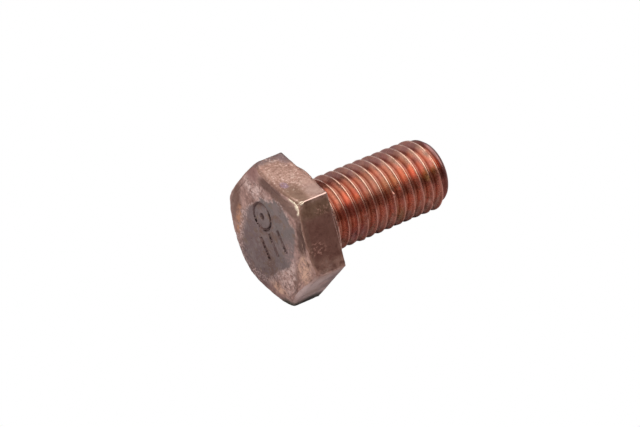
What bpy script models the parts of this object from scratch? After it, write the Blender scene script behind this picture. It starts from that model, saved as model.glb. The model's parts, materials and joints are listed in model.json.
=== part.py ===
"""Hexagon head screw, threaded to the head: M10 coarse thread, chamfered head, washer face.

The screw lies along +Y. The origin is the centre of the head's flat top face, the bearing face
is HEAD_HEIGHT along +Y from it, and the tip is LENGTH further on. Two wrench flats face +Z and -Z.

Every shape is drawn on a local +Z axis that starts at the top face of the head. The finished
object turns that axis onto +Y, which takes local +X to +X and local +Y to -Z.
"""

import math

import bmesh
import bpy

MM = 0.001

# Head
ACROSS_FLATS = 16.8 * MM
HEAD_HEIGHT = 5.5 * MM  # top face to bearing face, with the washer face
TOP_FLAT_RADIUS = 7.4 * MM
CHAMFER_ANGLE = math.radians(31.6)  # between the chamfer and the top face
WASHER_FACE_RADIUS = 7.95 * MM
WASHER_FACE_THICKNESS = 0.65 * MM

# Thread
THREAD_DIAMETER = 9.75 * MM
PITCH = 1.5 * MM
THREAD_DEPTH = 0.6134 * PITCH
CREST_WIDTH = PITCH / 8
FLANK_ANGLE = math.radians(30)  # each flank, from the plane across the axis
CREST_START = 0.52 * MM  # bearing face to the first crest, on the +X side
LENGTH = 20.1 * MM  # bearing face to tip
TIP_RADIUS = 3.85 * MM
TIP_CHAMFER = 1.25 * MM
RUN_OUT = 2.0 * MM  # where the groove fades, next to the head
RUN_OUT_RADIUS = 4.45 * MM  # bottom of the groove at the bearing face
FILLET = 0.5 * MM

# Stamped marks on the top face: a ring with a dot, and a row of plain bars
STAMP_DEPTH = 0.25 * MM
STAMP_TURN = math.radians(45.4)  # direction of the row of bars, from +X towards +Z
RING_PLACE = (0.3 * MM, 2.75 * MM)  # along the row, and square to it
RING_RADIUS = 1.8 * MM
RING_GROOVE = 0.4 * MM
DOT_RADIUS = 0.5 * MM
BAR_COUNT = 3
BAR_SPACING = 2.25 * MM
BAR_SIZE = (0.6 * MM, 3.1 * MM)
BARS_PLACE = (0.25 * MM, -1.15 * MM)

# Fineness of the round shapes
THREAD_SEGMENTS = 36
TURNED_SEGMENTS = 64
STAMP_SEGMENTS = 24
ARC_STEPS = 4

HEAD_CORNER_RADIUS = ACROSS_FLATS / math.sqrt(3)
WASHER_FACE_START = HEAD_HEIGHT - WASHER_FACE_THICKNESS
TIP = HEAD_HEIGHT + LENGTH
OVERLAP = 1.0 * MM  # how far joined shapes reach into each other


def clear_scene():
    for old in list(bpy.data.objects):
        bpy.data.objects.remove(old, do_unlink=True)


def add_object(name, bm):
    """A new object from the finished bmesh, with its faces pointing out."""
    bmesh.ops.recalc_face_normals(bm, faces=bm.faces)
    mesh = bpy.data.meshes.new(name)
    bm.to_mesh(mesh)
    bm.free()
    obj = bpy.data.objects.new(name, mesh)
    bpy.context.scene.collection.objects.link(obj)
    return obj


def add_ring(bm, radius, height, segments, centre=(0.0, 0.0)):
    """One circle of vertices across the local axis.

    A hexagon has its first corner on the +X side. A rounder shape is turned by half a step, so
    that its vertices miss the hexagon's corners and the thread's vertices.
    """
    half_step = 0.0 if segments == 6 else 0.5
    ring = []
    for i in range(segments):
        angle = 2 * math.pi * (i + half_step) / segments
        x = centre[0] + radius * math.cos(angle)
        y = centre[1] + radius * math.sin(angle)
        ring.append(bm.verts.new((x, y, height)))
    return ring


def join_rings(bm, first, second):
    for i in range(len(first)):
        j = (i + 1) % len(first)
        bm.faces.new((first[i], first[j], second[j], second[i]))


def add_turned(bm, profile, segments, centre=(0.0, 0.0)):
    """A closed turned solid from (radius, height) points that run along the axis."""
    rings = [add_ring(bm, radius, height, segments, centre) for radius, height in profile]
    for first, second in zip(rings, rings[1:]):
        join_rings(bm, first, second)
    bm.faces.new(rings[0])
    bm.faces.new(rings[-1])


def add_groove_ring(bm, inner, outer, low, high, segments, centre):
    """A flat washer shape, which cuts a ring-shaped groove."""
    corners = [(inner, low), (outer, low), (outer, high), (inner, high)]
    rings = [add_ring(bm, radius, height, segments, centre) for radius, height in corners]
    for first, second in zip(rings, rings[1:] + rings[:1]):
        join_rings(bm, first, second)


def turned_object(name, profile, segments=TURNED_SEGMENTS):
    bm = bmesh.new()
    add_turned(bm, profile, segments)
    return add_object(name, bm)


def arc(centre, radius, start, end, steps=ARC_STEPS):
    """(radius, height) points on an arc; angles are measured from the outward direction."""
    points = []
    for i in range(steps + 1):
        angle = start + (end - start) * i / steps
        points.append((centre[0] + radius * math.cos(angle), centre[1] + radius * math.sin(angle)))
    return points


def head_blank():
    """The round blank that the hexagon is cut from: flat top, rounded edge, chamfer cone."""
    cone_start = ACROSS_FLATS / 2
    edge_radius = (cone_start - TOP_FLAT_RADIUS) / math.tan(CHAMFER_ANGLE / 2)
    down = math.radians(-90)
    edge = arc((TOP_FLAT_RADIUS, edge_radius), edge_radius, down, down + CHAMFER_ANGLE)
    outer = HEAD_CORNER_RADIUS + OVERLAP
    cone_end = (outer - cone_start) * math.tan(CHAMFER_ANGLE)
    return turned_object("head_blank", edge + [(outer, cone_end), (outer, HEAD_HEIGHT)])


def washer_face():
    """The thin disc under the head, with the fillet that runs from it onto the thread."""
    fillet_centre = (RUN_OUT_RADIUS + FILLET, HEAD_HEIGHT + FILLET)
    fillet = arc(fillet_centre, FILLET, math.radians(270), math.radians(180))
    start = WASHER_FACE_START - OVERLAP
    edge = [(WASHER_FACE_RADIUS, start), (WASHER_FACE_RADIUS, HEAD_HEIGHT)]
    return turned_object("washer_face", edge + fillet)


def groove_radius(height):
    """Radius of the thread's groove, which grows shallow next to the head."""
    full_depth = THREAD_DIAMETER / 2 - THREAD_DEPTH
    share = min(1.0, max(0.0, (HEAD_HEIGHT + RUN_OUT - height) / RUN_OUT))
    fade = share * share * (3 - 2 * share)
    return full_depth + (RUN_OUT_RADIUS - full_depth) * fade


def thread_rod():
    """A right-hand threaded rod, longer than the screw at both ends.

    One strand follows each corner of the thread's profile around the rod. A strand that has gone
    once round meets the matching strand of the next turn.
    """
    crest = CREST_WIDTH / 2
    root = crest + THREAD_DEPTH * math.tan(FLANK_ANGLE)
    corners = [(-crest, True), (crest, True), (root, False), (PITCH - root, False)]
    per_turn = len(corners)
    first = HEAD_HEIGHT + CREST_START - 3 * PITCH
    turns = math.ceil((TIP + 2 * PITCH - first) / PITCH)
    strands = []
    bm = bmesh.new()
    for number in range(turns * per_turn):
        offset, on_crest = corners[number % per_turn]
        start = first + (number // per_turn) * PITCH + offset
        strand = []
        for i in range(THREAD_SEGMENTS):
            height = start + PITCH * i / THREAD_SEGMENTS
            radius = THREAD_DIAMETER / 2 if on_crest else groove_radius(height)
            angle = 2 * math.pi * i / THREAD_SEGMENTS
            point = (radius * math.cos(angle), radius * math.sin(angle), height)
            strand.append(bm.verts.new(point))
        strands.append(strand)

    last = THREAD_SEGMENTS - 1
    for low, high in zip(strands, strands[1:]):
        for i in range(last):
            bm.faces.new((low[i], low[i + 1], high[i + 1], high[i]))
    for number in range(len(strands) - per_turn - 1):
        low, high = strands[number], strands[number + 1]
        next_low, next_high = strands[number + per_turn], strands[number + per_turn + 1]
        bm.faces.new((low[last], next_low[0], next_high[0], high[last]))

    bottom = strands[0] + [strands[i][0] for i in range(per_turn, 0, -1)]
    top = strands[-1] + [strands[-1 - i][last] for i in range(1, per_turn + 1)]
    close_end(bm, bottom, first - PITCH)
    close_end(bm, top, first + (turns + 1) * PITCH)
    return add_object("thread_rod", bm)


def close_end(bm, loop, height):
    """Faces from a loop of vertices to one point on the axis."""
    point = bm.verts.new((0.0, 0.0, height))
    for i in range(len(loop)):
        bm.faces.new((loop[i], loop[(i + 1) % len(loop)], point))


def shank_envelope():
    """Trims the threaded rod: it starts inside the head and ends in the chamfered tip."""
    slope = (THREAD_DIAMETER / 2 - TIP_RADIUS) / TIP_CHAMFER
    outer = THREAD_DIAMETER / 2 + OVERLAP
    chamfer_start = TIP - (outer - TIP_RADIUS) / slope
    profile = [(outer, HEAD_HEIGHT - 2 * OVERLAP), (outer, chamfer_start), (TIP_RADIUS, TIP)]
    return turned_object("shank_envelope", profile)


def stamped_marks():
    """Cutters for the marks, which start above the top face and end at the stamp's depth."""
    across = (math.cos(STAMP_TURN), -math.sin(STAMP_TURN))
    upward = (-math.sin(STAMP_TURN), -math.cos(STAMP_TURN))
    above = -STAMP_DEPTH

    def place(along, beside):
        x = along * across[0] + beside * upward[0]
        y = along * across[1] + beside * upward[1]
        return x, y

    bm = bmesh.new()
    centre = place(*RING_PLACE)
    inner = RING_RADIUS - RING_GROOVE / 2
    outer = RING_RADIUS + RING_GROOVE / 2
    add_groove_ring(bm, inner, outer, above, STAMP_DEPTH, STAMP_SEGMENTS, centre)
    add_turned(bm, [(DOT_RADIUS, above), (DOT_RADIUS, STAMP_DEPTH)], STAMP_SEGMENTS, centre)
    for number in range(BAR_COUNT):
        along = BARS_PLACE[0] + (number - (BAR_COUNT - 1) / 2) * BAR_SPACING
        loops = []
        for height in (above, STAMP_DEPTH):
            loop = []
            for side, end in ((-1, -1), (1, -1), (1, 1), (-1, 1)):
                x, y = place(along + side * BAR_SIZE[0] / 2, BARS_PLACE[1] + end * BAR_SIZE[1] / 2)
                loop.append(bm.verts.new((x, y, height)))
            loops.append(loop)
        join_rings(bm, loops[0], loops[1])
        bm.faces.new(loops[0])
        bm.faces.new(loops[1])
    return add_object("stamped_marks", bm)


def boolean(obj, operation, cutter):
    """Adds a Boolean modifier and hides the shape that it uses."""
    modifier = obj.modifiers.new(operation.lower() + "_" + cutter.name, "BOOLEAN")
    modifier.operation = operation
    modifier.solver = "EXACT"
    modifier.object = cutter
    cutter.hide_render = True
    cutter.display_type = "WIRE"


def copper_plated_steel():
    material = bpy.data.materials.new("copper_plated_steel")
    material.use_nodes = True
    shader = material.node_tree.nodes["Principled BSDF"]
    shader.inputs["Base Color"].default_value = (0.50, 0.20, 0.13, 1.0)
    shader.inputs["Roughness"].default_value = 0.42
    shader.inputs["Metallic"].default_value = 1.0
    return material


def hex_bolt():
    """The whole screw in one piece of metal, as it is forged and rolled."""
    thread = thread_rod()
    boolean(thread, "INTERSECT", shank_envelope())

    hexagon = [(HEAD_CORNER_RADIUS, -OVERLAP), (HEAD_CORNER_RADIUS, WASHER_FACE_START)]
    bolt = turned_object("hex_bolt", hexagon, segments=6)
    boolean(bolt, "INTERSECT", head_blank())
    boolean(bolt, "UNION", washer_face())
    boolean(bolt, "UNION", thread)
    boolean(bolt, "DIFFERENCE", stamped_marks())

    bolt.data.materials.append(copper_plated_steel())
    bolt.data.shade_smooth()
    bolt.data.set_sharp_from_angle(angle=math.radians(25))
    helpers = [modifier.object for modifier in bolt.modifiers]
    helpers += [modifier.object for modifier in thread.modifiers]
    for obj in [bolt] + helpers:
        obj.rotation_euler = (math.radians(-90), 0.0, 0.0)
    return bolt


clear_scene()
hex_bolt()
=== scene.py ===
"""The looks of the hex bolt: one finely meshed, oxidised copper-plated screw around the CAD frame.

The shape is built in millimetres on a local axis. h runs along that axis from the head's top face
to the tip, and x and y lie across it. The finished mesh turns (x, y, h) into the row's (x, h, -y).
"""

import json
import math
import random

import bmesh
import bpy
import numpy as np
from mathutils import Matrix, Vector, noise


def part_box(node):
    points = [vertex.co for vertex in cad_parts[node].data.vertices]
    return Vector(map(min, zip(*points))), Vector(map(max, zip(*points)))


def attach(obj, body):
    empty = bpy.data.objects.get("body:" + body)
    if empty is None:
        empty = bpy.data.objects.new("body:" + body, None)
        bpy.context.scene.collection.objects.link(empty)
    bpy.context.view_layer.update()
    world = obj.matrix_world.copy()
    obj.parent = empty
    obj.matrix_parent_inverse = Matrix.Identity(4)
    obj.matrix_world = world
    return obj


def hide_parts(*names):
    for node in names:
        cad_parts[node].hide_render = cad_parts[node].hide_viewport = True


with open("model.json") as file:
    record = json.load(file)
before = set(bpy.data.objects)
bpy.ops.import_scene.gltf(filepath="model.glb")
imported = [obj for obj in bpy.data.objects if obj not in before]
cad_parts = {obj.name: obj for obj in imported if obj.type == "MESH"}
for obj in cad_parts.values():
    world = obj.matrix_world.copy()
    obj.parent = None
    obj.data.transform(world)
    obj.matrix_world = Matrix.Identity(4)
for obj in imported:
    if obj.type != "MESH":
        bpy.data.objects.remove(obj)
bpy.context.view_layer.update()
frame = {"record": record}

MM = 0.001

# Main sizes, from the frame, in millimetres
FLOOR_GAP = 0.02  # leaves room for the scale on the lowest flat
FLOOR_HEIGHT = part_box("hex_bolt")[0][2] / MM - FLOOR_GAP
PLACES = {m["name"]: Vector(m["pos_m"]) / MM for m in frame["record"]["mounts"]}
APOTHEM = PLACES["wrench_flat_top"].z
BEARING = PLACES["under_head"].y
TIP = PLACES["tip"].y

# Head
TOP_FLAT_RADIUS = 7.4
CHAMFER_ANGLE = math.radians(31.6)
WASHER_RADIUS = 7.95
WASHER_THICKNESS = 0.65
SIDE_ANGLE = math.radians(60)  # that each of the six flats takes up
COS_HALF_SIDE = math.cos(SIDE_ANGLE / 2)
SIN_HALF_SIDE = math.sin(SIDE_ANGLE / 2)
CORNER_RADIUS = 0.24  # along the six edges between the flats
CORNER_RADIUS_LEAST = 0.02
RIM_WIDTH = 0.26  # of the worn edge between the crown and the flats
RIM_UNEVENNESS = 0.1
RIM_CORNER_WIDTH = 0.3  # added at the six corners
RIM_CORNER_SPREAD = 0.06  # as a share of a side
# Where the rim is rounded more: direction in degrees from +X towards -Z, extra width, spread
SOFT_RIMS = ((-98.0, 0.25, 0.3), (36.0, 0.3, 0.22))
LOWER_EDGE = 0.14  # rounding of the flats' lower edges
UNDERSIDE = BEARING - WASHER_THICKNESS  # height of the head's underside, round the washer face
FOOT_WIDTH = 0.08  # from the washer face out to where its corner starts to round
# The washer face's edge: outwards from its radius, and below the bearing face
WASHER_PROFILE = (
    (0.02, 0.62), (0.0, 0.56), (0.0, 0.35), (0.0, 0.14),
    (-0.02, 0.06), (-0.06, 0.02), (-0.14, 0.0), (-0.6, 0.0),
)
BEARING_RADII = (6.95, 6.2, 5.6, 5.2)  # loops of the bearing face

# Thread
THREAD_RADIUS = 4.875
PITCH = 1.5
THREAD_DEPTH = 0.92
CREST_WIDTH = 0.15
FLANK_SLOPE = 1 / math.tan(math.radians(30))
CREST_START = 0.52  # bearing face to the first crest, on the +X side
TIP_RADIUS = 4.0
TIP_CHAMFER = 1.25
NECK_RADIUS = 4.45  # under the head, where the groove fades
FILLET = 0.5
RUN_OUT = 2.0
THREAD_START = (0.35, 0.8)  # where the thread rises from the neck, and the length of the rise
CREST_ROUNDING = 0.04
ROOT_ROUNDING = 0.2
TIP_ROUNDING = 0.1
TIP_MARGIN = 0.1  # from the last loop of the thread to the end face
STRAND_GAP = 0.04  # least distance of a strand's points from the end loops
TIP_PROFILE = ((0.0, 0.05), (0.06, 0.015), (0.17, 0.0), (0.5, 0.0), (1.0, 0.0))  # inwards, and down
END_LOOPS = ((2.4, 2), (1.4, 4), (0.6, 8))  # radius, and how many times fewer points

# Stamped marks on the top face: a ring with a dot, and three plain bars
STAMP_TURN = math.radians(45.4)  # direction of the row of bars, from +X towards +Z
ACROSS = np.array([math.cos(STAMP_TURN), -math.sin(STAMP_TURN)])
UPWARD = np.array([-math.sin(STAMP_TURN), -math.cos(STAMP_TURN)])
STAMP_DEPTH = 0.25
STAMP_SLOPE = 0.13  # width of a mark's sloping wall
STAMP_TINT_WIDTH = 0.16  # over which a mark's dark tint sets in, most of it outside the mark
RING_PLACE = (0.3, 2.75)
RING_RADIUS = 1.8
RING_WIDTH = 0.42
DOT_RADIUS = 0.5
BAR_PLACES = ((-2.0, -1.15), (0.25, -1.15), (2.5, -1.15))
BAR_SIZE = (0.6, 3.1)

# Relief of the surface, in millimetres
WORN_RADII = (5.4, 6.2)  # of the rubbed middle of the top face
CHAMFER_LINES = ((0.85, 0.09, 0.05), (1.25, 0.07, 0.025))  # distance from the rim, width, depth
FOLD_PLACE = (0.5, 6.5)  # middle of the fold, towards -X and towards +Z
FOLD_HEIGHT = 0.05
NICK_DEPTH = 0.05
# Damage to the crests: turn from +X towards +Z in degrees, height above the bearing face, size and
# depth. A burr has a depth below 0
DENTS = (
    (33.0, 11.1, 0.32, -0.26),
    (84.0, 7.1, 0.25, 0.12),
    (-30.0, 6.9, 0.9, -0.14),
    (-42.0, 15.0, 0.7, 0.2),
)
RANDOM_DENTS = 40
DENT_SIZES = (0.2, 0.5)
DENT_DEPTHS = (0.03, 0.09)
FIRST_DENTED_CREST, LAST_DENTED_CREST = 1, 12
SHARP_BEND = 1.8  # a bend, in radians a millimetre, that counts as a full edge or corner

# Fineness of the mesh
DISC_STEPS = 150  # grid squares across the flat top face
HEAD_COLUMNS = 4 * DISC_STEPS
SIDE_COLUMNS = HEAD_COLUMNS // 6
CORNER_STEPS = 4
CROWN_STEPS = 10
RIM_STEPS = 4
FLAT_STEPS = 12
EDGE_SHARES = (0.33, 0.67, 1.0)
FILLET_STEPS = 4
THREAD_COLUMNS = HEAD_COLUMNS // 3
STRAND_SHARES = (0.0, 0.036, 0.055, 0.08, 0.2, 0.34, 0.43, 0.5)  # crest to root, in pitches

# The three looks of the surface
HEAD_TOP, HEAD_SIDES, SHANK = 0, 1, 2


# ---- small helpers


def smooth(value):
    """0 below 0, 1 above 1, and an S-shaped curve between."""
    t = np.clip(value, 0.0, 1.0)
    return t * t * (3 - 2 * t)


def soft_min(a, b, width):
    """The smaller value, with the corner between the two rounded off."""
    return np.minimum(a, b) - np.maximum(width - np.abs(a - b), 0) ** 2 / (4 * width)


def soft_max(a, b, width):
    return -soft_min(-a, -b, width)


def turns(count):
    """Angles of evenly spaced points on a circle."""
    return 2 * np.pi * np.arange(count) / count


def polar(radius, angle, height):
    """A circle of points (x, y, h), one for each angle."""
    height = np.broadcast_to(height, np.shape(angle))
    return np.column_stack([radius * np.cos(angle), radius * np.sin(angle), height])


def bezier(start, corner, end, share):
    """A point on the curve that rounds a corner off."""
    return (1 - share) ** 2 * start + 2 * share * (1 - share) * corner + share**2 * end


def add_object(name, data):
    added = bpy.data.objects.new(name, data)
    bpy.context.scene.collection.objects.link(added)
    return added


class Shell:
    """The points and faces of one closed surface, each face with the number of its look."""

    def __init__(self):
        self.points = []
        self.faces = []
        self.look = HEAD_TOP
        self.point_looks = []
        self.face_looks = []

    def add(self, points):
        """Adds points and returns their numbers."""
        first = len(self.points)
        self.points.extend(np.asarray(points, dtype=float))
        self.point_looks.extend([self.look] * (len(self.points) - first))
        return list(range(first, len(self.points)))

    def face(self, *corners):
        self.faces.append(corners)
        self.face_looks.append(self.look)

    def band(self, first, second):
        """Joins two loops of equal length."""
        for i in range(len(first)):
            j = (i + 1) % len(first)
            self.face(first[i], first[j], second[j], second[i])

    def loops(self, previous, rings):
        """Joins a row of loops, starting at a loop that is there already."""
        for ring in rings:
            current = self.add(ring)
            self.band(previous, current)
            previous = current
        return previous

    def narrow(self, fine, coarse):
        """Joins a fine loop to one with a few times fewer points."""
        ratio = len(fine) // len(coarse)
        for i in range(len(coarse)):
            j = (i + 1) % len(coarse)
            part = [fine[(i * ratio + k) % len(fine)] for k in range(ratio + 1)]
            half = ratio // 2
            for k in range(ratio):
                tip = coarse[i] if k <= half else coarse[j]
                self.face(part[k], part[k + 1], tip)
            self.face(part[half + 1], coarse[j], coarse[i])

    def fan(self, loop, point):
        centre = self.add([point])[0]
        for i in range(len(loop)):
            self.face(loop[i], loop[(i + 1) % len(loop)], centre)


# ---- shape of the head


def crown_height(radius):
    """Drop of the head's top face at a radius: flat, then an arc, then the chamfer cone."""
    edge = (APOTHEM - TOP_FLAT_RADIUS) / math.tan(CHAMFER_ANGLE / 2)
    out = np.maximum(radius - TOP_FLAT_RADIUS, 0.0)
    arc_end = edge * math.sin(CHAMFER_ANGLE)
    on_arc = edge - np.sqrt(edge**2 - np.minimum(out, arc_end) ** 2)
    return on_arc + np.maximum(out - arc_end, 0.0) * math.tan(CHAMFER_ANGLE)


def disc_point(a, b):
    """Takes a square's point (a, b), each from -1 to 1, onto a disc with even spacing."""
    if a == 0 and b == 0:
        return 0.0, 0.0
    if abs(a) > abs(b):
        radius, angle = a, math.pi / 4 * b / a
    else:
        radius, angle = b, math.pi / 2 - math.pi / 4 * a / b
    return radius * math.cos(angle), radius * math.sin(angle)


def stamp_distance(point):
    """Distance from a point (x, y) of the top face to the nearest mark, negative inside it."""
    along, beside = point @ ACROSS, point @ UPWARD
    from_ring = math.hypot(along - RING_PLACE[0], beside - RING_PLACE[1])
    found = [abs(from_ring - RING_RADIUS) - RING_WIDTH / 2, from_ring - DOT_RADIUS]
    for place in BAR_PLACES:
        x = abs(along - place[0]) - BAR_SIZE[0] / 2
        y = abs(beside - place[1]) - BAR_SIZE[1] / 2
        found.append(math.hypot(max(x, 0.0), max(y, 0.0)) + min(max(x, y), 0.0))
    return min(found)


def snap_to_stamp(point, spacing):
    """Moves a point that is near a mark's edge onto it, so that the edge comes out clean."""
    distance = stamp_distance(point)
    target = 0.0 if distance > -STAMP_SLOPE / 2 else -STAMP_SLOPE
    if abs(distance - target) > 0.5 * spacing:
        return point
    step = 1e-3
    slope_x = stamp_distance(point + (step, 0)) - stamp_distance(point - (step, 0))
    slope_y = stamp_distance(point + (0, step)) - stamp_distance(point - (0, step))
    slope = np.array([slope_x, slope_y]) / (2 * step)
    return point - slope * (distance - target)


def top_face(shell):
    """The flat top face with its stamped marks. Returns its edge as a loop from +X round."""
    spacing = 2 * TOP_FLAT_RADIUS / DISC_STEPS
    points = []
    for i in range(DISC_STEPS + 1):
        for j in range(DISC_STEPS + 1):
            square = (2 * i / DISC_STEPS - 1, 2 * j / DISC_STEPS - 1)
            point = np.array(disc_point(*square)) * TOP_FLAT_RADIUS
            if 0 < i < DISC_STEPS and 0 < j < DISC_STEPS:
                point = snap_to_stamp(point, spacing)
            depth = STAMP_DEPTH * float(smooth(-stamp_distance(point) / STAMP_SLOPE))
            points.append((point[0], point[1], depth))
    numbers = shell.add(points)
    row = DISC_STEPS + 1
    edge = []
    for i in range(row):
        for j in range(row):
            corner = numbers[i * row + j]
            if i < DISC_STEPS and j < DISC_STEPS:
                a, b, c, d = corner, corner + 1, corner + row + 1, corner + row
                fall_ac = abs(points[a][2] - points[c][2])
                fall_bd = abs(points[b][2] - points[d][2])
                if fall_ac == fall_bd:
                    shell.face(a, b, c, d)
                elif fall_ac < fall_bd:
                    shell.face(a, b, c)
                    shell.face(a, c, d)
                else:
                    shell.face(b, c, d)
                    shell.face(b, d, a)
            if i in (0, DISC_STEPS) or j in (0, DISC_STEPS):
                angle = math.atan2(points[corner][1], points[corner][0]) % (2 * math.pi)
                edge.append((round(angle, 6) % round(2 * math.pi, 6), corner))
    return [corner for _, corner in sorted(edge)]


def outline(inset):
    """The rounded hexagon, moved in by inset (one number, or one for each column).

    Each side has the same number of points, with a few of them on the rounded corners.
    """
    inset = np.broadcast_to(inset, HEAD_COLUMNS)
    points = np.zeros((HEAD_COLUMNS, 2))
    for column in range(HEAD_COLUMNS):
        side, place = divmod(column, SIDE_COLUMNS)
        near = place if place <= SIDE_COLUMNS // 2 else place - SIDE_COLUMNS
        corner_angle = SIDE_ANGLE * (side if near >= 0 else side + 1)
        apothem = APOTHEM - inset[column]
        rounding = max(CORNER_RADIUS - inset[column] / 2, CORNER_RADIUS_LEAST)
        centre = (apothem - rounding) / COS_HALF_SIDE
        turn = SIDE_ANGLE / 2 * max(-1.0, min(1.0, near / CORNER_STEPS))
        x = centre + rounding * math.cos(turn)
        y = rounding * math.sin(turn)
        if abs(near) > CORNER_STEPS:
            steps = SIDE_COLUMNS / 2 - CORNER_STEPS
            share = (abs(near) - CORNER_STEPS) / steps
            x += (apothem * COS_HALF_SIDE - x) * share
            y += (math.copysign(apothem * SIN_HALF_SIDE, near) - y) * share
        cos, sin = math.cos(corner_angle), math.sin(corner_angle)
        points[column] = (x * cos - y * sin, x * sin + y * cos)
    return points


def rim_wear():
    """Width of the worn edge in each column: uneven, and widest at the six corners."""
    widths = np.zeros(HEAD_COLUMNS)
    for column, angle in enumerate(turns(HEAD_COLUMNS)):
        place = column % SIDE_COLUMNS
        near = min(place, SIDE_COLUMNS - place) / SIDE_COLUMNS
        spot = Vector((8 * math.cos(angle), 8 * math.sin(angle), 3.0))
        corner = math.exp(-((near / RIM_CORNER_SPREAD) ** 2))
        widths[column] = RIM_WIDTH + RIM_UNEVENNESS * noise.noise(spot) + RIM_CORNER_WIDTH * corner
        for turn, extra, spread in SOFT_RIMS:
            off = (angle - math.radians(turn) + math.pi) % (2 * math.pi) - math.pi
            widths[column] += extra * math.exp(-((off / spread) ** 2))
    return widths


def at_height(xy, heights):
    return np.column_stack([xy, np.broadcast_to(heights, len(xy))])


def head_sides(shell, edge):
    """From the edge of the flat top face down to the underside's inner loop."""
    angles = turns(HEAD_COLUMNS)
    circle = TOP_FLAT_RADIUS * np.column_stack([np.cos(angles), np.sin(angles)])
    wear = rim_wear()
    rim = outline(0.0)
    crown_end = outline(wear)
    rings = []
    for step in range(1, CROWN_STEPS + 1):
        xy = circle + (crown_end - circle) * step / CROWN_STEPS
        rings.append(at_height(xy, crown_height(np.hypot(xy[:, 0], xy[:, 1]))))
    edge = shell.loops(edge, rings)
    shell.look = HEAD_SIDES
    crown_edge = rings[-1]
    sharp_edge = at_height(rim, crown_height(np.hypot(rim[:, 0], rim[:, 1])))
    side_start = sharp_edge + np.column_stack([0 * wear, 0 * wear, wear])
    shares = [step / RIM_STEPS for step in range(1, RIM_STEPS + 1)]
    rings = [bezier(crown_edge, sharp_edge, side_start, share) for share in shares]
    for step in range(1, FLAT_STEPS + 1):
        share = step / FLAT_STEPS
        height = side_start[:, 2] * (1 - share) + (UNDERSIDE - LOWER_EDGE) * share
        rings.append(at_height(rim, height))
    side_end = rings[-1]
    bottom_corner = at_height(rim, UNDERSIDE)
    under_start = at_height(outline(LOWER_EDGE), UNDERSIDE)
    rings += [bezier(side_end, bottom_corner, under_start, share) for share in EDGE_SHARES]
    foot = polar(WASHER_RADIUS + FOOT_WIDTH, angles, UNDERSIDE)
    rings += [under_start + (foot - under_start) * share for share in EDGE_SHARES]
    return shell.loops(edge, rings), angles


def washer_face(shell, previous, angles):
    """The washer face's edge, the bearing face and the fillet, on a loop with fewer columns."""
    profile = [polar(WASHER_RADIUS + out, angles, BEARING - down) for out, down in WASHER_PROFILE]
    previous = shell.loops(previous, profile)
    coarse = turns(THREAD_COLUMNS)
    first, *others = [polar(radius, coarse, BEARING) for radius in BEARING_RADII]
    loop = shell.add(first)
    shell.narrow(previous, loop)
    loop = shell.loops(loop, others)
    shell.look = SHANK
    rings = []
    for step in range(FILLET_STEPS + 1):
        turn = math.radians(90) * step / FILLET_STEPS
        radius = NECK_RADIUS + FILLET * (1 - math.sin(turn))
        rings.append(polar(radius, coarse, BEARING + FILLET * (1 - math.cos(turn))))
    return shell.loops(loop, rings), coarse


# ---- shape of the thread


def crest_height(angle):
    """Height of the first crest above the bearing face at an angle."""
    return BEARING + CREST_START + PITCH * angle / (2 * math.pi)


def thread_radius(angle, height):
    """Radius of the threaded shank: rolled thread, run-out under the head, chamfered tip."""
    phase = (height - crest_height(angle)) / PITCH
    off_crest = np.abs(phase - np.round(phase)) * PITCH
    depth = soft_max((off_crest - CREST_WIDTH / 2) * FLANK_SLOPE, 0.0, CREST_ROUNDING)
    near_head = smooth((BEARING + RUN_OUT - height) / RUN_OUT)
    groove = THREAD_RADIUS - THREAD_DEPTH
    groove = groove + (NECK_RADIUS - groove) * near_head
    radius = soft_max(THREAD_RADIUS - depth, groove, ROOT_ROUNDING)
    start, rise = THREAD_START
    begun = smooth((height - BEARING - start) / rise)
    radius = NECK_RADIUS + (radius - NECK_RADIUS) * begun
    slope = (THREAD_RADIUS - TIP_RADIUS) / TIP_CHAMFER
    return soft_min(radius, TIP_RADIUS + (TIP - height) * slope, TIP_ROUNDING)


def threaded_shank(shell, start, angles):
    """The thread's surface: strands that follow the helix, between two flat end loops."""
    low, high = BEARING + FILLET, TIP - TIP_MARGIN
    end_height = np.full(len(angles), high)
    end = shell.add(polar(thread_radius(angles, end_height), angles, high))
    shares = list(STRAND_SHARES) + [1 - share for share in reversed(STRAND_SHARES[1:-1])]
    per_turn = len(shares)
    rounds = range(-2, math.ceil((TIP - BEARING) / PITCH) + 1)
    starts = [PITCH * (number + share) for number in rounds for share in shares]
    columns = []
    for angle in angles:
        heights = crest_height(angle) + np.array(starts)
        inside = [n for n, h in enumerate(heights) if low + STRAND_GAP < h < high - STRAND_GAP]
        chosen = heights[inside]
        points = polar(thread_radius(angle, chosen), np.full(len(chosen), angle), chosen)
        columns.append(dict(zip(inside, shell.add(points))))

    for i in range(len(angles)):
        here, there = columns[i], columns[(i + 1) % len(angles)]
        j = (i + 1) % len(angles)
        if j == 0:
            there = {number - per_turn: vertex for number, vertex in there.items()}
        both = sorted(set(here) & set(there))
        first, last = both[0], both[-1]
        for number in both[:-1]:
            shell.face(here[number], there[number], there[number + 1], here[number + 1])
        below = there.get(first - 1)
        if below is None:
            shell.face(start[i], start[j], there[first], here[first])
        else:
            shell.face(start[i], start[j], below)
            shell.face(start[i], below, there[first], here[first])
        above = here.get(last + 1)
        if above is None:
            shell.face(here[last], there[last], end[j], end[i])
        else:
            shell.face(here[last], there[last], above)
            shell.face(above, there[last], end[j], end[i])
    return end


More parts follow.
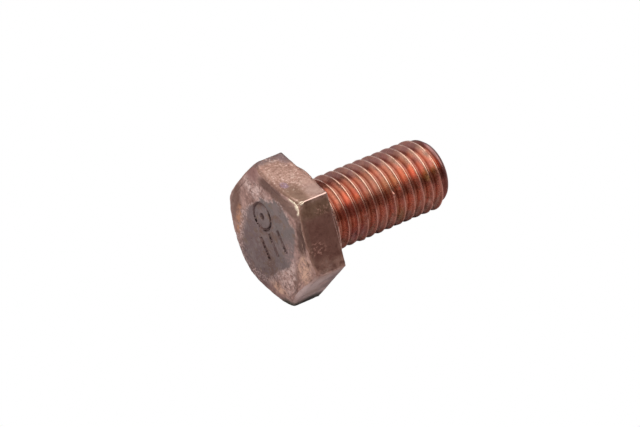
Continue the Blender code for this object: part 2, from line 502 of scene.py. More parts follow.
def tip_face(shell, previous, angles):
    """The rounded end of the chamfer and the flat end face."""
    rings = [polar(TIP_RADIUS - inward, angles, TIP - drop) for inward, drop in TIP_PROFILE]
    previous = shell.loops(previous, rings)
    for radius, fewer in END_LOOPS:
        loop = shell.add(polar(radius, turns(len(angles) // fewer), TIP))
        shell.narrow(previous, loop)
        previous = loop
    shell.fan(previous, (0.0, 0.0, TIP))


# ---- the whole piece


def build_shell():
    shell = Shell()
    edge = top_face(shell)
    previous, angles = head_sides(shell, edge)
    previous, angles = washer_face(shell, previous, angles)
    previous = threaded_shank(shell, previous, angles)
    tip_face(shell, previous, angles)
    return shell


def rough(points, size, seed, octaves=1):
    """Smooth random values from about -1 to 1, with bumps of the given size in millimetres."""
    shift = Vector((13.7 * seed, -7.3 * seed, 3.1 * seed))
    values = np.empty(len(points))
    for number, point in enumerate(points):
        place = Vector(point) / size + shift
        if octaves == 1:
            values[number] = noise.noise(place)
        else:
            values[number] = noise.fractal(place, 0.9, 2.1, octaves)
    return values


def rim_distance(points):
    """How far each point (x, y, h) is inside the hexagon's outline."""
    reach = np.full(len(points), -np.inf)
    for side in range(6):
        turn = SIDE_ANGLE * (side + 0.5)
        reach = np.maximum(reach, points[:, 0] * math.cos(turn) + points[:, 1] * math.sin(turn))
    return APOTHEM - reach


def worn_share(points):
    """1 on the part of the head's top face that is rubbed smooth, 0 outside it."""
    x, y = points[:, 0], points[:, 1]
    away = np.hypot(x / WORN_RADII[0], y / WORN_RADII[1]) + 0.009 * x * y
    faint = smooth((y - x - 1.0) / 5.0)  # towards -X-Z the edge is further out and less clear
    low = smooth((y - 1.5) / 4.0)
    ragged = 0.09 * rough(points, 1.6, 3) + 0.06 * rough(points, 0.5, 4, 3)
    blur = 0.12 + 0.25 * np.maximum(faint, low)
    return smooth((1.0 + 0.2 * faint + 0.08 * low - away + ragged) / blur)


def head_top_relief(points):
    """Forging scale round a smoother middle, a fold, and lines along the chamfer's edge."""
    worn = worn_share(points)
    scale = smooth((rough(points, 0.7, 5, 4) + 0.3) / 0.8)
    height = 0.022 * rough(points, 2.6, 6) + 0.006 * rough(points, 0.45, 7, 3)
    height += (1 - worn) * (0.06 * scale - 0.02)
    height -= 0.03 * smooth((rough(points, 0.5, 8) - 0.42) / 0.15)
    rim = rim_distance(points) + 0.1 * rough(points, 2.0, 9)
    strength = smooth(0.6 + rough(points, 4.0, 10))
    for place, width, depth in CHAMFER_LINES:
        height -= depth * strength * np.exp(-(((rim - place) / width) ** 2))
    x, y = points[:, 0], points[:, 1]
    fold = y + FOLD_PLACE[1] + 0.045 * (x + FOLD_PLACE[0]) ** 2 + 0.15 * rough(points, 1.5, 11)
    ends = smooth((4.6 - np.abs(x - 0.4)) / 1.2)
    return height + FOLD_HEIGHT * np.exp(-((fold / 0.14) ** 2)) * ends


def head_sides_relief(points):
    """Shallow dents and scale on the flats, and nicks along the edges."""
    height = 0.02 * rough(points, 2.2, 12) + 0.012 * rough(points, 0.6, 13, 3)
    x, y, h = points.T
    radius = np.hypot(x, y)
    from_corner = APOTHEM / COS_HALF_SIDE - radius
    nicks = NICK_DEPTH * smooth((rough(points, 0.45, 14) - 0.1) / 0.35)
    height -= nicks * smooth((0.5 - from_corner) / 0.35)
    washer = smooth((h - UNDERSIDE - 0.05) / 0.15) * smooth((radius - 7.3) / 0.4)
    return height + washer * (0.035 * rough(points, 1.1, 15) - nicks)


def shank_relief(points):
    """Worn crests with dents, and a faintly uneven rolled surface."""
    x, y, h = points.T
    radius, angle = np.hypot(x, y), np.arctan2(y, x)
    crest = smooth((radius - THREAD_RADIUS + 0.3) / 0.25)
    height = 0.004 * rough(points, 0.6, 16, 2) - crest * 0.03 * smooth(rough(points, 1.3, 17) + 0.3)
    chance = random.Random(4)
    dents = [(math.radians(-turn), BEARING + up, size, depth) for turn, up, size, depth in DENTS]
    for _ in range(RANDOM_DENTS):
        turn = chance.uniform(-math.pi, math.pi)
        crest_number = chance.randint(FIRST_DENTED_CREST, LAST_DENTED_CREST)
        up = (crest_height(turn % (2 * math.pi)) - BEARING) % PITCH + PITCH * crest_number
        size, depth = chance.uniform(*DENT_SIZES), chance.uniform(*DENT_DEPTHS)
        dents.append((turn, BEARING + up, size, depth))
    for turn, place, size, depth in dents:
        around = np.abs((angle - turn + math.pi) % (2 * math.pi) - math.pi) * THREAD_RADIUS
        near = (around < 3 * size) & (np.abs(h - place) < 3 * size)
        away = (around[near] / size) ** 2 + ((h[near] - place) / (0.8 * size)) ** 2
        height[near] -= depth * np.exp(-away) * crest[near]
    return height


def bend(points, faces):
    """How sharply the surface turns at each point: positive on an edge, negative in a corner."""
    corners = [np.array([f[k] for f in faces if len(f) > k]) for k in range(4)]
    count = np.array([len(f) for f in faces])
    quads = count == 4
    a, b, c = (points[corners[k]] for k in range(3))
    across = np.cross(b - a, c - a)
    across[quads] += np.cross(c[quads] - a[quads], points[corners[3]] - a[quads])
    normals = np.zeros_like(points)
    for k in range(3):
        np.add.at(normals, corners[k], across)
    np.add.at(normals, corners[3], across[quads])
    normals /= np.maximum(np.linalg.norm(normals, axis=1), 1e-12)[:, None]
    pairs = set()
    for face in faces:
        for k in range(len(face)):
            one, two = face[k], face[(k + 1) % len(face)]
            pairs.add((min(one, two), max(one, two)))
    one, two = np.array(sorted(pairs)).T
    step = points[two] - points[one]
    turn = np.sum((normals[two] - normals[one]) * step, axis=1)
    turn /= np.maximum(np.sum(step * step, axis=1), 1e-6)
    total, number = np.zeros(len(points)), np.zeros(len(points))
    for end in (one, two):
        np.add.at(total, end, turn)
        np.add.at(number, end, 1)
    return normals, total / number


def make_bolt(looks):
    """The finished mesh, with the values that its looks use kept at its points."""
    shell = build_shell()
    points = np.array(shell.points)
    part = np.array(shell.point_looks)
    normals, _ = bend(points, shell.faces)
    outward = -np.sign(normals[0][2])  # the first point is on the top face, which looks along -h
    stamp = np.zeros(len(points))
    top = part == HEAD_TOP
    stamp[top] = [-stamp_distance(point[:2]) for point in points[top]]
    height = np.zeros(len(points))
    reliefs = (head_top_relief, head_sides_relief, shank_relief)
    for number, relief in enumerate(reliefs):
        height[part == number] = relief(points[part == number])
    points += normals * outward * height[:, None]
    _, turned = bend(points, shell.faces)

    row_points = np.column_stack([points[:, 0], points[:, 2], -points[:, 1]]) * MM
    mesh = bpy.data.meshes.new("bolt_metal")
    mesh.from_pydata(row_points.tolist(), [], shell.faces)
    mesh.polygons.foreach_set("material_index", shell.face_looks)
    values = {
        "edge": smooth(turned * outward / SHARP_BEND),
        "cavity": smooth(-turned * outward / SHARP_BEND),
        "stamp": smooth(stamp / STAMP_TINT_WIDTH + 0.6),
        "rim": rim_distance(points),
        "worn": np.where(top, worn_share(points), 0.0),
        "groove": (THREAD_RADIUS - np.hypot(points[:, 0], points[:, 1])) / THREAD_DEPTH,
    }
    for name, numbers in values.items():
        mesh.attributes.new(name, "FLOAT", "POINT").data.foreach_set("value", numbers)
    for look in looks:
        mesh.materials.append(look)
    bm = bmesh.new()
    bm.from_mesh(mesh)
    bmesh.ops.recalc_face_normals(bm, faces=bm.faces)
    bm.to_mesh(mesh)
    bm.free()
    mesh.shade_smooth()
    return add_object("bolt_metal", mesh)


# ---- materials


# Patches of colour, mostly stains and worn metal; those marked below are painted shade or painted
# light: centre and radii in the row's axes, in millimetres, then colour and share
HEAD_TOP_PATCHES = (
    ((-0.6, 0.3, 7.3), (2.6, 3.0, 0.75), (0.25, 0.155, 0.13), 0.9),
    ((3.2, 0.3, 6.9), (3.0, 3.0, 0.9), (0.31, 0.20, 0.165), 0.85),
    ((6.5, 0.5, 4.4), (1.1, 3.0, 2.8), (0.17, 0.10, 0.08), 0.85),
    ((-4.7, 0.5, 7.3), (1.5, 3.0, 1.4), (0.48, 0.28, 0.265), 0.75),
    ((-7.5, 0.5, 1.4), (1.2, 3.0, 4.0), (0.28, 0.165, 0.13), 0.75),
    ((6.1, 0.3, -2.9), (0.4, 3.0, 2.6), (0.30, 0.18, 0.15), 0.7),
    ((-2.5, 0.5, -7.4), (4.0, 3.0, 1.3), (0.34, 0.235, 0.235), 0.85),
    ((3.8, 0.7, -8.0), (1.7, 3.0, 0.8), (0.50, 0.35, 0.335), 0.8),
    # Painted shade: the crown's corner next to the floor
    ((4.5, 1.2, -8.3), (1.4, 3.0, 1.1), (0.15, 0.145, 0.115), 0.95),
)
HEAD_SIDES_PATCHES = (
    ((7.3, 2.8, 4.2), (3.2, 4.0, 4.0), (0.32, 0.165, 0.135), 0.9),
    ((5.6, 2.8, 7.2), (0.7, 4.0, 1.2), (0.36, 0.24, 0.16), 0.7),
    # The low flat's own lilac-grey, made lighter as painted light where it mirrors the floor
    ((7.3, 2.8, -4.2), (3.4, 4.0, 4.0), (0.92, 0.77, 0.76), 0.85),
    ((7.8, 4.4, -3.3), (1.9, 1.9, 2.9), (0.38, 0.26, 0.26), 0.85),
    ((7.3, 0.3, 4.2), (3.2, 0.45, 4.6), (0.38, 0.235, 0.19), 0.7),
    ((6.8, 2.2, -5.0), (0.9, 1.0, 1.0), (0.66, 0.48, 0.42), 0.6),
    ((7.6, 3.0, -3.4), (0.9, 0.8, 1.0), (0.75, 0.55, 0.52), 0.7),
    # Painted shade: the two dark spots at the corner next to the floor, where it mirrors the
    # floor's shadow
    ((4.85, 3.3, -8.4), (1.5, 2.6, 2.2), (0.10, 0.10, 0.09), 0.92),
    ((4.4, 0.8, -8.3), (1.6, 1.2, 1.1), (0.19, 0.185, 0.15), 0.9),
    ((0.0, 0.3, 8.4), (4.2, 0.45, 0.45), (0.34, 0.21, 0.175), 0.8),
    ((3.0, 1.3, 8.4), (2.1, 1.3, 1.0), (0.28, 0.18, 0.13), 0.85),
    ((0.9, 1.1, 8.4), (0.6, 0.45, 1.0), (0.40, 0.28, 0.40), 0.8),
    ((-3.9, 4.2, 8.4), (1.3, 0.9, 1.0), (0.34, 0.23, 0.24), 0.8),
    ((-4.9, 2.5, 8.4), (1.2, 3.0, 1.5), (0.25, 0.19, 0.195), 0.9),
    ((-4.0, 4.6, 8.4), (1.3, 0.8, 1.0), (0.27, 0.20, 0.205), 0.85),
    ((3.4, 3.8, 8.4), (1.6, 1.2, 1.0), (0.55, 0.39, 0.34), 0.7),
    ((-1.6, 2.0, 8.4), (2.0, 1.8, 1.0), (0.62, 0.42, 0.35), 0.5),
)
SHANK_PATCHES = (
    # Painted highlights: the first four spots are red glints on the flanks
    ((2.5, 10.3, 3.6), (1.2, 0.7, 1.2), (0.98, 0.36, 0.24), 0.7),
    ((2.5, 19.3, 3.6), (1.2, 0.7, 1.2), (0.96, 0.38, 0.23), 0.6),
    ((2.6, 21.0, 3.6), (1.3, 0.6, 1.3), (0.96, 0.38, 0.27), 0.6),
    ((2.6, 24.2, 3.6), (1.3, 0.6, 1.3), (1.00, 0.34, 0.18), 0.8),
    ((3.2, 22.3, 2.9), (0.8, 0.6, 0.8), (0.50, 0.42, 0.14), 0.7),
    ((2.8, 16.2, 3.4), (1.2, 1.2, 1.2), (0.66, 0.42, 0.24), 0.6),
    ((2.6, 14.0, 3.6), (2.0, 1.8, 2.0), (0.66, 0.44, 0.36), 0.7),
    ((4.4, 10.9, -1.2), (1.0, 1.3, 1.3), (0.62, 0.34, 0.36), 0.6),
    ((4.4, 17.6, -1.0), (1.0, 0.7, 1.5), (0.52, 0.36, 0.20), 0.7),
    ((4.6, 19.1, 0.3), (1.0, 0.8, 1.3), (0.86, 0.38, 0.27), 0.6),
)
# Painted highlights: bright streaks at the corner of the crown that is nearest to the camera:
# centre and radii
CORNER_HIGHLIGHTS = (
    ((4.0, 0.6, 8.1), (1.0, 1.0, 0.24)),
    ((4.8, 0.8, 7.9), (0.62, 1.0, 0.6)),
    ((5.1, 0.8, 7.4), (0.22, 1.0, 0.8)),
)


class Nodes:
    """Adds nodes to the tree of a material or of the world."""

    def __init__(self, tree):
        self.nodes = tree.nodes
        self.links = tree.links

    def add(self, kind, inputs=None, **settings):
        """A new node. Its inputs are fed by name or number, and None leaves one as it is."""
        node = self.nodes.new("ShaderNode" + kind)
        for name, value in settings.items():
            setattr(node, name, value)
        for name, value in (inputs or {}).items():
            if value is not None:
                self.feed(node.inputs[name], value)
        return node

    def feed(self, socket, value):
        if isinstance(value, bpy.types.NodeSocket):
            self.links.new(value, socket)
        elif isinstance(value, tuple) and len(value) == 3 and len(socket.default_value) == 4:
            socket.default_value = (*value, 1.0)
        else:
            socket.default_value = value

    def vector(self, operation, a, b=None, scale=None):
        node = self.add("VectorMath", {0: a, 1: b, "Scale": scale}, operation=operation)
        return node.outputs["Value" if operation in ("LENGTH", "DOT_PRODUCT") else "Vector"]

    def math(self, operation, a, b):
        return self.add("Math", {0: a, 1: b}, operation=operation).outputs[0]

    def plus(self, a, b):
        return self.math("ADD", a, b)

    def times(self, a, b):
        return self.math("MULTIPLY", a, b)

    def most(self, a, b):
        return self.math("MAXIMUM", a, b)

    def step(self, value, low, high, first=0.0, last=1.0):
        """first below low, last above high, and a smooth change between."""
        inputs = {"Value": value, "From Min": low, "From Max": high}
        inputs.update({"To Min": first, "To Max": last})
        return self.add("MapRange", inputs, interpolation_type="SMOOTHSTEP").outputs["Result"]

    def mix(self, share, a, b, blend="MIX"):
        inputs = {"Factor": share, 6: a, 7: b}
        return self.add("Mix", inputs, data_type="RGBA", blend_type=blend).outputs[2]

    def seen_directly(self):
        """1 for what the camera itself sees, 0 for mirrored and scattered light."""
        return self.add("LightPath").outputs["Is Camera Ray"]


class Look(Nodes):
    """A metal whose patterns follow the surface's own coordinates, in millimetres."""

    def __init__(self, name):
        self.material = bpy.data.materials.new(name)
        self.material.use_nodes = True
        super().__init__(self.material.node_tree)
        self.shader = self.nodes["Principled BSDF"]
        self.shader.inputs["Metallic"].default_value = 1.0
        coordinates = self.add("TexCoord").outputs["Object"]
        self.place = self.vector("SCALE", coordinates, scale=1 / MM)

    def noise(self, size, seed, detail=2.0, stretch=(1.0, 1.0, 1.0), place=None):
        """Cloudy values round 0.5 with spots of the given size."""
        sizes = tuple(1 / (size * s) for s in stretch)
        place = self.vector("MULTIPLY", place or self.place, sizes)
        inputs = {"Vector": place, "W": 1.37 * seed, "Scale": 1.0, "Detail": detail}
        inputs["Roughness"] = 0.6
        return self.add("TexNoise", inputs, noise_dimensions="4D").outputs["Fac"]

    def tint(self, share, colour, factor):
        """Multiplies a colour by a factor, as far as the share says."""
        return self.mix(share, colour, self.vector("MULTIPLY", colour, factor))

    def facing(self, angle):
        """1 on the side of the shank that faces this way, round from +X towards +Z, -1 opposite."""
        outward = self.vector("NORMALIZE", self.vector("MULTIPLY", self.place, (1.0, 0.0, 1.0)))
        turn = math.radians(angle)
        return self.vector("DOT_PRODUCT", outward, (math.cos(turn), 0.0, math.sin(turn)))

    def attribute(self, name):
        return self.add("Attribute", attribute_name=name).outputs["Fac"]

    def streaks(self, across, width, seed):
        """Fine lines where across is constant, which come and go along their length."""
        across = self.math("DIVIDE", across, width)
        along = self.vector("DOT_PRODUCT", self.place, (0.12, 0.0, 0.35))
        place = self.add("CombineXYZ", {"X": across, "Y": along}).outputs["Vector"]
        return self.noise(1.0, seed, place=place)

    def spot(self, centre, radii, ragged, soft=0.4):
        """1 inside an ellipsoid with a ragged outline."""
        inside = self.vector("SUBTRACT", self.place, centre)
        inside = self.vector("LENGTH", self.vector("DIVIDE", inside, radii))
        inside = self.plus(inside, self.times(ragged, 0.9))
        return self.step(inside, 1.45 + soft, 1.45 - soft)

    def patches(self, colour, ragged, soft, places):
        """Colours one spot after the other: centre, radii, colour and share of each."""
        for centre, radii, tint, share in places:
            patch = self.times(self.spot(centre, radii, ragged, soft), share)
            colour = self.mix(patch, colour, tint)
        return colour

    def finish(self, colour, roughness, coarse, fine, share, depth):
        """The bump is made of a coarse and a fine pattern, depth millimetres high in all."""
        height = self.plus(self.times(coarse, share), self.times(fine, 1 - share))
        bump = self.add("Bump", {"Strength": 1.0, "Distance": depth * MM, "Height": height})
        inputs = {"Base Color": colour, "Roughness": roughness, "Normal": bump.outputs["Normal"]}
        for name, value in inputs.items():
            self.feed(self.shader.inputs[name], value)
        return self.material


def head_top_look():
    """Rubbed grey metal in the middle, mottled scale with spots of exposed copper round it, painted
    highlights at the corner nearest the camera and painted shade at the corner by the floor.
    """
    look = Look("head_top")
    blotches = look.noise(1.6, 1, 3.0)
    grain = look.noise(0.7, 2, 6.0)
    specks = look.noise(0.3, 3, 3.0)
    fine = look.noise(0.14, 4)
    grainy = look.noise(0.5, 7, 6.0)
    worn = look.attribute("worn")
    rim = look.attribute("rim")

    scale = look.mix(look.step(blotches, 0.35, 0.65), (0.44, 0.275, 0.24), (0.64, 0.43, 0.385))
    scale = look.mix(look.step(grain, 0.48, 0.68), scale, (0.84, 0.60, 0.54))
    scale = look.mix(look.step(grain, 0.46, 0.28), scale, (0.24, 0.145, 0.125))
    scale = look.patches(scale, blotches, 0.35, HEAD_TOP_PATCHES)
    pale_zone = look.most(look.spot((-3.3, 0.3, 5.1), (3.0, 3.0, 1.2), blotches),
                          look.spot((4.3, 0.3, -2.8), (1.6, 3.0, 3.8), blotches))
    pale = look.times(pale_zone, look.step(grainy, 0.38, 0.60))
    scale = look.mix(pale, scale, (1.0, 0.80, 0.75))
    pitted = look.times(pale_zone, look.step(specks, 0.47, 0.37, 0.0, 0.7))
    scale = look.mix(pitted, scale, (0.34, 0.21, 0.185))
    copper = look.most(look.spot((7.3, 0.6, -0.3), (1.3, 3.0, 2.0), blotches),
                       look.spot((2.4, 0.3, -6.4), (1.9, 3.0, 0.6), blotches))
    copper = look.times(copper, look.step(grainy, 0.34, 0.62))
    scale = look.mix(copper, scale, (1.0, 0.70, 0.55))
    bronze = look.spot((-6.3, 0.3, -1.4), (0.8, 3.0, 2.1), blotches)
    bronze = look.times(bronze, look.step(grainy, 0.38, 0.56))
    scale = look.mix(bronze, scale, (0.74, 0.41, 0.26))

    lines = look.streaks(rim, 0.11, 5)
    lined = look.spot((7.2, 0.6, 3.2), (2.0, 3.0, 4.4), blotches)
    lined = look.times(lined, look.step(rim, 1.7, 1.3))
    dark_line = look.times(lined, look.step(lines, 0.5, 0.4, 0.0, 0.75))
    light_line = look.times(lined, look.step(lines, 0.56, 0.66, 0.0, 0.85))
    scale = look.mix(dark_line, scale, (0.16, 0.095, 0.075))
    scale = look.mix(light_line, scale, (0.86, 0.62, 0.50))

    corner = look.vector("DOT_PRODUCT", look.place, (0.12, 0.0, 0.12))
    grey = look.mix(look.step(corner, -0.6, 0.6), (0.285, 0.212, 0.215), (0.305, 0.265, 0.26))
    grey = look.mix(look.step(blotches, 0.42, 0.62), grey, (0.36, 0.29, 0.285))
    grey = look.mix(look.step(look.noise(2.2, 6, 3.0), 0.52, 0.64), grey, (0.28, 0.19, 0.165))
    rust = look.step(look.noise(1.1, 8, 5.0), 0.54, 0.62, 0.0, 0.7)
    grey = look.mix(rust, grey, (0.33, 0.24, 0.185))
    grey = look.mix(look.step(specks, 0.56, 0.68, 0.0, 0.7), grey, (0.50, 0.42, 0.42))
    grey = look.mix(look.step(grain, 0.4, 0.28, 0.0, 0.8), grey, (0.17, 0.115, 0.115))
    colour = look.mix(worn, scale, grey)
    border = look.times(look.step(worn, 0.02, 0.3), look.step(worn, 0.98, 0.5))
    border = look.times(border, look.step(specks, 0.45, 0.6, 0.0, 0.8))
    clear = look.spot((5.0, 0.3, 1.5), (1.8, 3.0, 3.4), blotches)
    border = look.times(border, look.math("SUBTRACT", 1.0, clear))
    colour = look.mix(border, colour, (0.90, 0.72, 0.69))
    mixed = look.spot((4.6, 0.3, 0.2), (1.6, 3.0, 1.7), blotches)
    mixed = look.times(mixed, look.step(specks, 0.47, 0.62, 0.15, 0.75))
    colour = look.mix(mixed, colour, (0.62, 0.45, 0.445))

    colour = look.mix(look.times(look.attribute("cavity"), 0.5), colour, (0.17, 0.10, 0.09))
    # Paler worn edges, with painted highlights at the crown's corner nearest the camera: this spot
    # and the corner streaks
    worn_edge_and_highlight = look.spot((4.3, 0.9, 7.6), (1.8, 2.0, 1.2), specks, 0.5)
    worn_edge_and_highlight = look.times(look.attribute("edge"), look.plus(worn_edge_and_highlight, 0.25))
    worn_edge_and_highlight = look.step(worn_edge_and_highlight, 0.6, 1.3)
    for centre, radii in CORNER_HIGHLIGHTS:
        worn_edge_and_highlight = look.most(worn_edge_and_highlight, look.spot(centre, radii, specks, 0.3))
    colour = look.mix(worn_edge_and_highlight, colour, (1.0, 0.88, 0.70))
    stamp = look.times(look.attribute("stamp"), look.step(grain, 0.25, 0.6, 0.88, 0.65))
    colour = look.mix(stamp, colour, (0.125, 0.078, 0.078))

    roughness = look.step(look.plus(specks, look.times(worn, -0.3)), 0.1, 0.7, 0.34, 0.55)
    roughness = look.math("SUBTRACT", roughness, look.times(worn_edge_and_highlight, 0.1))
    return look.finish(colour, roughness, grain, fine, 0.7, 0.05)


def head_sides_look():
    """Mottled pinkish copper with darker patches, paler on the worn edges, with painted highlights
    on the edges nearest the camera, painted shade at the corner by the floor and a low flat
    lightened by painted light.
    """
    look = Look("head_sides")
    blotches = look.noise(1.3, 11, 3.0)
    grain = look.noise(0.8, 12, 6.0)
    specks = look.noise(0.3, 13, 3.0)
    fine = look.noise(0.16, 14)
    colour = look.mix(look.step(blotches, 0.35, 0.65), (0.46, 0.275, 0.225), (0.59, 0.37, 0.305))
    colour = look.mix(look.step(grain, 0.5, 0.7), colour, (0.74, 0.54, 0.46))
    colour = look.mix(look.step(grain, 0.47, 0.3), colour, (0.36, 0.21, 0.17))
    colour = look.patches(colour, blotches, 0.45, HEAD_SIDES_PATCHES)
    colour = look.tint(look.step(grain, 0.5, 0.34, 0.0, 0.6), colour, (0.72, 0.64, 0.64))
    speckled = look.times(look.spot((-1.2, 2.4, 8.4), (4.0, 2.4, 1.0), blotches), 0.9)
    brown = look.times(speckled, look.step(specks, 0.49, 0.38))
    colour = look.mix(brown, colour, (0.36, 0.215, 0.165))
    pale = look.times(speckled, look.step(specks, 0.55, 0.66))
    colour = look.mix(pale, colour, (0.90, 0.70, 0.62))
    scratched = look.most(look.spot((8.0, 1.5, 2.9), (0.9, 1.3, 0.9), blotches),
                          look.spot((5.8, 3.6, 6.8), (0.6, 1.2, 0.6), blotches))
    scratched = look.times(scratched, look.step(specks, 0.5, 0.62, 0.0, 0.6))
    colour = look.mix(scratched, colour, (0.85, 0.50, 0.42))
    colour = look.mix(look.times(look.attribute("cavity"), 0.7), colour, (0.30, 0.14, 0.10))
    # Paler worn edges, with painted highlights where the edges catch the lamps: along the edge
    # nearest the camera, at the crown's corner and round the washer face's rim
    worn_edge_and_highlight = look.spot((4.85, 2.6, 8.4), (1.6, 4.5, 1.6), specks)
    washer = look.spot((6.7, 5.2, 3.9), (3.5, 0.6, 5.5), specks)
    worn_edge_and_highlight = look.most(worn_edge_and_highlight, look.spot((4.2, 0.8, 8.1), (1.7, 0.5, 0.9), specks))
    worn_edge_and_highlight = look.most(worn_edge_and_highlight, look.times(washer, 0.8))
    worn_edge_and_highlight = look.plus(worn_edge_and_highlight, look.step(specks, 0.5, 0.7, 0.0, 0.25))
    worn_edge_and_highlight = look.step(look.times(look.attribute("edge"), worn_edge_and_highlight), 0.4, 1.0)
    colour = look.mix(worn_edge_and_highlight, colour, (0.88, 0.62, 0.55))
    glint = look.spot((4.7, 0.7, 8.15), (0.6, 0.6, 0.5), specks, 0.3)
    glint = look.times(glint, look.step(look.attribute("edge"), 0.35, 0.8))
    colour = look.mix(glint, colour, (1.0, 0.88, 0.70))
    roughness = look.step(specks, 0.3, 0.7, 0.32, 0.5)
    roughness = look.math("SUBTRACT", roughness, look.times(worn_edge_and_highlight, 0.22))
    return look.finish(colour, roughness, grain, fine, 0.6, 0.04)


def shank_look():
    """Reddish oxidised copper, streaked along the thread, with brighter rubbed crests. Painted
    shade darkens the roots, the top edge, the lower side and the lowest line; painted light
    brightens the underside and the end's rim.
    """
    look = Look("shank")
    blotches = look.noise(1.5, 21, 3.0)
    patches = look.noise(1.9, 22, 2.0, (1.0, 0.7, 1.0))
    specks = look.noise(0.35, 23, 3.0)
    streaks = look.noise(0.16, 24, 2.0, (6.0, 0.6, 6.0))
    grain = look.noise(0.8, 26, 3.0)
    groove = look.attribute("groove")
    colour = look.mix(look.step(blotches, 0.38, 0.62), (0.67, 0.39, 0.305), (0.80, 0.495, 0.405))
    # below marks the shank's lower side; the tints that follow it are painted shade: less red
    # there, a little darker, and darker next to the crests
    below = look.step(look.facing(-45), -0.22, 0.25)
    red = look.times(look.step(patches, 0.53, 0.63), look.step(groove, 0.05, 0.3))
    red = look.times(red, look.step(below, 0.0, 1.0, 0.6, 0.12))
    colour = look.mix(red, colour, (0.84, 0.41, 0.31))
    brown = look.step(patches, 0.45, 0.36, 0.0, 0.55)
    colour = look.mix(brown, colour, (0.44, 0.27, 0.19))
    plum = look.step(look.noise(2.3, 25), 0.54, 0.62, 0.0, 0.4)
    colour = look.mix(plum, colour, (0.55, 0.31, 0.33))
    colour = look.patches(colour, blotches, 0.4, SHANK_PATCHES)
    colour = look.mix(look.step(specks, 0.40, 0.28, 0.0, 0.2), colour, (0.40, 0.19, 0.14))
    # Painted shade: the top edge of the shank, turned up and away, darker and greyer
    above = look.step(look.facing(120), 0.84, 0.95)
    colour = look.tint(above, colour, (0.58, 0.50, 0.53))
    # Painted shade: darker in the roots of the thread
    colour = look.tint(look.step(groove, 0.45, 0.8, 0.0, 0.85), colour, (0.56, 0.33, 0.27))
    # Painted shade: the lower side a little darker
    colour = look.tint(below, colour, (0.97, 0.88, 0.86))
    # Painted light: lighter towards the underside, where it mirrors the floor
    colour = look.tint(look.step(look.facing(-70), 0.3, 0.8), colour, (1.3, 1.3, 1.35))
    # Painted shade: darker next to the crests on the lower side
    shoulder = look.times(below, look.step(groove, 0.5, 0.2))
    colour = look.tint(shoulder, colour, (0.82, 0.60, 0.58))
    # The rubbed crests are paler worn metal; their greyer tone on the top edge and darker tone on
    # the lower side are painted shade
    rubbed = look.mix(above, (0.92, 0.62, 0.48), (0.72, 0.52, 0.47))
    rubbed = look.mix(below, rubbed, (0.62, 0.30, 0.24))
    crest = look.step(groove, 0.13, 0.03)
    crest = look.times(crest, look.step(grain, 0.35, 0.6, 0.25, 1.0))
    colour = look.mix(crest, colour, rubbed)
    # Painted shade: dark along the shank's lowest line, broken up by the grain
    underside_shade = look.plus(look.facing(-90), look.times(look.math("SUBTRACT", grain, 0.5), 0.8))
    colour = look.tint(look.step(underside_shade, 0.6, 0.85), colour, (0.25, 0.2, 0.22))
    up = look.vector("DOT_PRODUCT", look.place, (0.0, 1.0, 0.0))
    colour = look.tint(look.step(up, TIP - 1.2, TIP - 0.8), colour, (0.55, 0.5, 0.6))
    # The end face: mottled cut metal, with a painted highlight in pale lilac-grey round its rounded
    # rim
    end = look.step(up, TIP - 0.22, TIP - 0.1)
    cut = look.mix(look.step(blotches, 0.4, 0.6), (0.50, 0.30, 0.24), (0.62, 0.42, 0.36))
    cut = look.mix(look.step(grain, 0.5, 0.65), cut, (0.36, 0.22, 0.19))
    end_colour = look.mix(look.step(groove, 1.05, 1.35), (0.80, 0.68, 0.70), cut)
    colour = look.mix(end, colour, end_colour)
    roughness = look.step(look.plus(specks, look.times(blotches, 0.4)), 0.4, 1.0, 0.2, 0.34)
    roughness = look.plus(roughness, look.times(end, 0.3))
    return look.finish(colour, roughness, streaks, specks, 0.6, 0.004)


# ---- camera and studio

# The camera, about the centre of the bearing face
CAMERA_AZIMUTH = math.radians(50.68)
CAMERA_ELEVATION = math.radians(38.15)
CAMERA_ROLL = math.radians(4.44)
CAMERA_DISTANCE = 478.6
CAMERA_LENS = 212.6
CAMERA_RIGHT = 1.97  # the camera looks past the bearing face's centre by this much
CAMERA_UP = 1.17

# The studio, in metres. Colours are brightness in red, green and blue
WHITE = (1.0, 1.0, 1.0)
FLOOR_SIZE = 1.5
FLOOR_CORNERS = ((-1, -1), (1, -1), (1, 1), (-1, 1))
FLOOR_TONE = (0.61, 0.585, 0.595)
SHADE_CENTRE = (0.0, 18.0, -8.4)  # the floor is darker right under the shank, in millimetres
SHADE_RADII = (6.5, 12.0, 5.0)
SHADE_STEP = (0.6, 1.0, 0.55, 1.0)  # starts and ends at these parts of the radii; darkest, lightest
SOFTBOX_HEIGHT = 0.5
SOFTBOX_TURN = math.radians(45)
SOFTBOXES = (  # near edge and far edge towards +X+Y, width, brightness, colour
    (0.12, 0.51, 1.1, 1.34, (1.0, 0.975, 0.94)),
    (-0.5, 0.12, 1.1, 0.96, (1.0, 0.985, 0.97)),
)
SOFTBOX_SHIFT = 0.15  # how far the lamps' middle line is from the axes' origin, towards -X+Y
REFLECTOR_PLACE = Vector((-0.10, -0.62, 0.115))  # a small bright card in front of the head
REFLECTOR_SIZE = 0.16
REFLECTOR_BRIGHTNESS = 3.0
ROOM_TONE = (0.205, 0.165, 0.152)
ROOM_GLOWS = (  # direction, where the glow starts and where it's full, colour
    ((-0.5, -0.866, 0.0), 0.1, 0.9, (0.42, 0.395, 0.365)),
    ((-1.0, 0.1, 0.0), 0.2, 0.95, (0.16, 0.14, 0.135)),
)


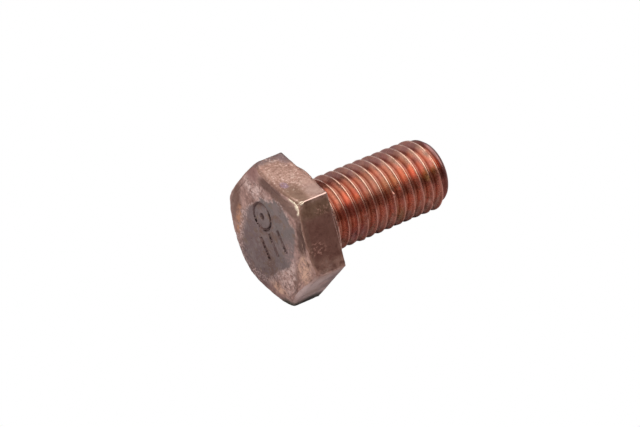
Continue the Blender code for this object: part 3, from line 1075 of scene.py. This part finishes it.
def add_camera():
    side = Vector((math.cos(CAMERA_AZIMUTH), math.sin(CAMERA_AZIMUTH), 0))
    level = math.cos(CAMERA_ELEVATION)
    back = Vector((side.y * level, -side.x * level, math.sin(CAMERA_ELEVATION)))
    above = back.cross(side)
    right = side * math.cos(CAMERA_ROLL) + above * math.sin(CAMERA_ROLL)
    up = back.cross(right)
    centre = Vector((0, BEARING, 0))
    place = centre + back * CAMERA_DISTANCE + right * CAMERA_RIGHT + up * CAMERA_UP
    data = bpy.data.cameras.new("camera")
    data.lens = CAMERA_LENS
    data.clip_start = 0.01
    data.clip_end = 20
    camera = add_object("camera", data)
    turn = Matrix((right, up, back)).transposed().to_4x4()
    camera.matrix_world = Matrix.Translation(place * MM) @ turn
    bpy.context.scene.camera = camera


def add_floor():
    """A plain white sheet. The camera sees it evenly lit; the bolt mirrors it as shaded paper."""
    mesh = bpy.data.meshes.new("floor")
    corners = [(x * FLOOR_SIZE, y * FLOOR_SIZE, FLOOR_HEIGHT * MM) for x, y in FLOOR_CORNERS]
    mesh.from_pydata(corners, [], [(0, 1, 2, 3)])
    material = bpy.data.materials.new("white_floor")
    material.use_nodes = True
    tree = Nodes(material.node_tree)
    tree.nodes.clear()
    place = tree.add("NewGeometry").outputs["Position"]
    away = tree.vector("SUBTRACT", place, tuple(part * MM for part in SHADE_CENTRE))
    away = tree.vector("DIVIDE", away, tuple(part * MM for part in SHADE_RADII))
    shade = tree.step(tree.vector("LENGTH", away), *SHADE_STEP)
    lit = tree.add("BsdfDiffuse", {"Color": tree.vector("SCALE", FLOOR_TONE, scale=shade)})
    bright = tree.add("Emission")
    shaders = {0: tree.seen_directly(), 1: lit.outputs[0], 2: bright.outputs[0]}
    tree.add("OutputMaterial", {"Surface": tree.add("MixShader", shaders).outputs[0]})
    mesh.materials.append(material)
    add_object("floor", mesh)


def add_lamp(name, sides, brightness, colour, place, turn):
    lamp = bpy.data.lights.new(name, "AREA")
    lamp.shape = "RECTANGLE"
    lamp.size, lamp.size_y = sides
    lamp.energy = brightness * math.pi * sides[0] * sides[1]
    lamp.color = colour
    lit = add_object(name, lamp)
    lit.location = place
    lit.rotation_euler = turn
    return lit


def add_lamps():
    """Two large soft lamps overhead, side by side and level with the floor, and a card in front."""
    along = Vector((math.cos(SOFTBOX_TURN), math.sin(SOFTBOX_TURN), 0))
    beside = Vector((-along.y, along.x, 0))
    for number, (near, far, width, brightness, colour) in enumerate(SOFTBOXES):
        place = along * (near + far) / 2 + beside * SOFTBOX_SHIFT
        place += Vector((0, 0, SOFTBOX_HEIGHT))
        sides = (far - near, width)
        add_lamp(f"softbox_{number}", sides, brightness, colour, place, (0, 0, SOFTBOX_TURN))
    turn = REFLECTOR_PLACE.to_track_quat("Z", "Y").to_euler()
    sides = (REFLECTOR_SIZE, REFLECTOR_SIZE)
    card = add_lamp("reflector", sides, REFLECTOR_BRIGHTNESS, WHITE, REFLECTOR_PLACE, turn)
    card.visible_camera = False


def add_world():
    """A room round the bolt, brighter in front. The camera sees plain white behind the bolt."""
    world = bpy.data.worlds.new("studio")
    bpy.context.scene.world = world
    world.use_nodes = True
    tree = Nodes(world.node_tree)
    direction = tree.add("TexCoord").outputs["Generated"]
    tone = ROOM_TONE
    for side, start, full, colour in ROOM_GLOWS:
        share = tree.step(tree.vector("DOT_PRODUCT", direction, side), start, full)
        tone = tree.mix(share, tone, colour, "ADD")
    tone = tree.mix(tree.seen_directly(), tone, WHITE)
    tree.feed(tree.nodes["Background"].inputs["Color"], tone)


bpy.context.scene.view_settings.view_transform = "Standard"
bolt = make_bolt((head_top_look(), head_sides_look(), shank_look()))
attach(bolt, "root")
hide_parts("hex_bolt")
add_floor()
add_lamps()
add_world()
add_camera()
